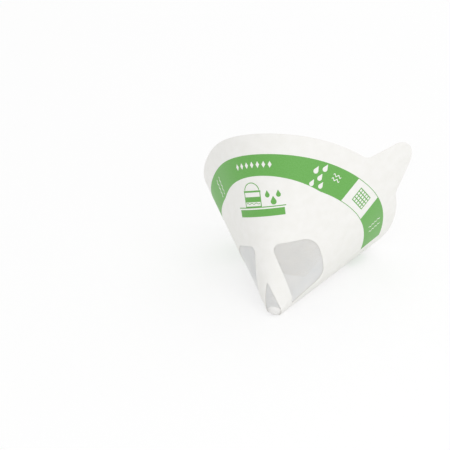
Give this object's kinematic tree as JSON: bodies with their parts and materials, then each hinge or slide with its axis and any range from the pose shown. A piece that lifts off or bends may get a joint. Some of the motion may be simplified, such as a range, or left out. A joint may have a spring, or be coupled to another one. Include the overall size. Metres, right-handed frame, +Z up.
{
  "type": "paint strainer",
  "caption": "Disposable oval cone of folded and glued white paper with a holding tongue on its rim and fine gauze behind the windows at its tip, lying on its side.",
  "frame": {"origin": "on the table under the middle of the strainer's bounding box, with the cone lying on its side", "axes": "+Z up from the table, +Y from the tip towards the open mouth, +X to the side that carries the holding tongue"},
  "size_m": [0.1888, 0.1604, 0.1545],
  "materials": {
    "coated_paper": "matte white coated paper with a green printed band",
    "nylon_gauze": "fine translucent white woven gauze"
  },
  "bodies": {
    "root": {"paper_cone": "coated_paper", "mesh_gauze": "nylon_gauze"}
  },
  "joints": []
}
